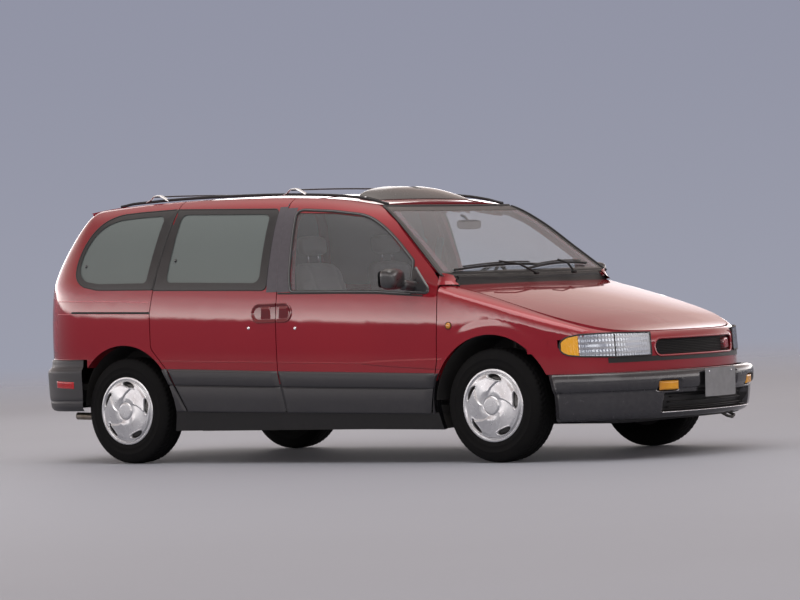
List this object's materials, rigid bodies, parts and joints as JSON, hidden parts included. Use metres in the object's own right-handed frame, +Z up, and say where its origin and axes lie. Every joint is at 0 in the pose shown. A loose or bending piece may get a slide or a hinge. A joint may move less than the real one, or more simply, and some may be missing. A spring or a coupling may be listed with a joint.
{
  "type": "minivan",
  "caption": "Long rounded minivan with one sliding side door, big side glass, rooftop load rails, lower body cladding and hinged doors, hood and tailgate.",
  "frame": {"origin": "floor level below the middle of the vehicle's length and width", "axes": "+X to the front, +Y to the vehicle's left, +Z up"},
  "size_m": [4.8235, 2.3, 1.7001],
  "materials": {
    "body_paint": "glossy red clear coat",
    "underbody_black": "matte black undercoat",
    "grille_red": "painted plastic",
    "bumper_plastic": "dark grey moulded plastic",
    "clear_glass": "clear laminated glass",
    "tinted_glass": "dark tinted glass",
    "black_trim": "black moulded plastic",
    "lamp_lens": "moulded clear lens",
    "red_lens": "red lens",
    "rack_black": "satin black",
    "seat_cloth": "woven light grey cloth",
    "dash_plastic": "grained dark plastic",
    "cast_metal": "rough casting",
    "chassis_steel": "black painted steel",
    "exhaust_steel": "bare tube",
    "tyre_rubber": "black rubber",
    "rim_silver": "silver paint"
  },
  "bodies": {
    "body": {"underbody": "underbody_black", "body_side_left": "body_paint", "body_side_right": "body_paint", "roof_panel": "body_paint", "front_fenders": "body_paint", "nose_panel": "body_paint", "grille": "grille_red", "front_bumper": "bumper_plastic", "rear_bumper": "bumper_plastic", "windshield": "clear_glass", "cowl_panel": "black_trim", "side_glass": "tinted_glass", "sliding_door": "body_paint", "headlamps": "lamp_lens", "tail_lamps": "red_lens", "roof_rack": "rack_black", "roof_deflector": "black_trim", "wipers": "black_trim", "front_seats": "seat_cloth", "rear_seats": "seat_cloth", "dashboard": "dash_plastic", "engine_block": "cast_metal", "front_suspension": "chassis_steel", "rear_axle": "chassis_steel", "fuel_tank": "black_trim", "exhaust": "exhaust_steel"},
    "front_door_right": {"door_front_right": "body_paint", "door_glass_right": "clear_glass", "mirror_right": "black_trim"},
    "front_door_left": {"door_front_left": "body_paint", "door_glass_left": "clear_glass", "mirror_left": "black_trim"},
    "hood": {"hood": "body_paint"},
    "tailgate": {"tailgate": "body_paint", "tailgate_glass": "tinted_glass"},
    "knuckle_left": {"knuckle_left": "cast_metal"},
    "knuckle_right": {"knuckle_right": "cast_metal"},
    "steering_wheel": {"steering_wheel": "dash_plastic"},
    "wheel_front_left": {"tyre_front_left": "tyre_rubber", "rim_front_left": "rim_silver"},
    "wheel_front_right": {"tyre_front_right": "tyre_rubber", "rim_front_right": "rim_silver"},
    "wheel_rear_left": {"tyre_rear_left": "tyre_rubber", "rim_rear_left": "rim_silver"},
    "wheel_rear_right": {"tyre_rear_right": "tyre_rubber", "rim_rear_right": "rim_silver"}
  },
  "joints": [
    {"name": "front_door_right_hinge", "type": "hinge", "parent": "body", "child": "front_door_right", "pos_m": [0.97, -0.905, 0.76], "axis": [0, 0, 1], "range_deg": [0, 60]},
    {"name": "front_door_left_hinge", "type": "hinge", "parent": "body", "child": "front_door_left", "pos_m": [0.97, 0.905, 0.76], "axis": [0, 0, -1], "range_deg": [0, 60]},
    {"name": "hood_hinge", "type": "hinge", "parent": "body", "child": "hood", "pos_m": [1.172, 0, 1], "axis": [0, -1, 0], "range_deg": [0, 50]},
    {"name": "tailgate_hinge", "type": "hinge", "parent": "body", "child": "tailgate", "pos_m": [-1.92, 0, 1.595], "axis": [0, 1, 0], "range_deg": [0, 75]},
    {"name": "steer_left", "type": "hinge", "parent": "body", "child": "knuckle_left", "pos_m": [1.408, 0.65, 0.336], "axis": [0, 0, 1], "range_deg": [-32, 32]},
    {"name": "steer_right", "type": "hinge", "parent": "body", "child": "knuckle_right", "pos_m": [1.408, -0.65, 0.336], "axis": [0, 0, 1], "range_deg": [-32, 32]},
    {"name": "steering_wheel_turn", "type": "hinge", "parent": "body", "child": "steering_wheel", "pos_m": [0.46, 0.38, 1.01], "axis": [-0.848, 0, 0.5299], "range_deg": [-512, 512]},
    {"name": "wheel_front_left_spin", "type": "hinge", "parent": "knuckle_left", "child": "wheel_front_left", "pos_m": [1.408, 0.8065, 0.336], "axis": [0, 1, 0], "continuous": true},
    {"name": "wheel_front_right_spin", "type": "hinge", "parent": "knuckle_right", "child": "wheel_front_right", "pos_m": [1.408, -0.8065, 0.336], "axis": [0, 1, 0], "continuous": true},
    {"name": "wheel_rear_left_spin", "type": "hinge", "parent": "body", "child": "wheel_rear_left", "pos_m": [-1.442, 0.8065, 0.336], "axis": [0, 1, 0], "continuous": true},
    {"name": "wheel_rear_right_spin", "type": "hinge", "parent": "body", "child": "wheel_rear_right", "pos_m": [-1.442, -0.8065, 0.336], "axis": [0, 1, 0], "continuous": true}
  ],
  "couplings": [
    {"joint": "steer_right", "follows": "steer_left", "ratio": 1},
    {"joint": "steering_wheel_turn", "follows": "steer_left", "ratio": 16}
  ]
}
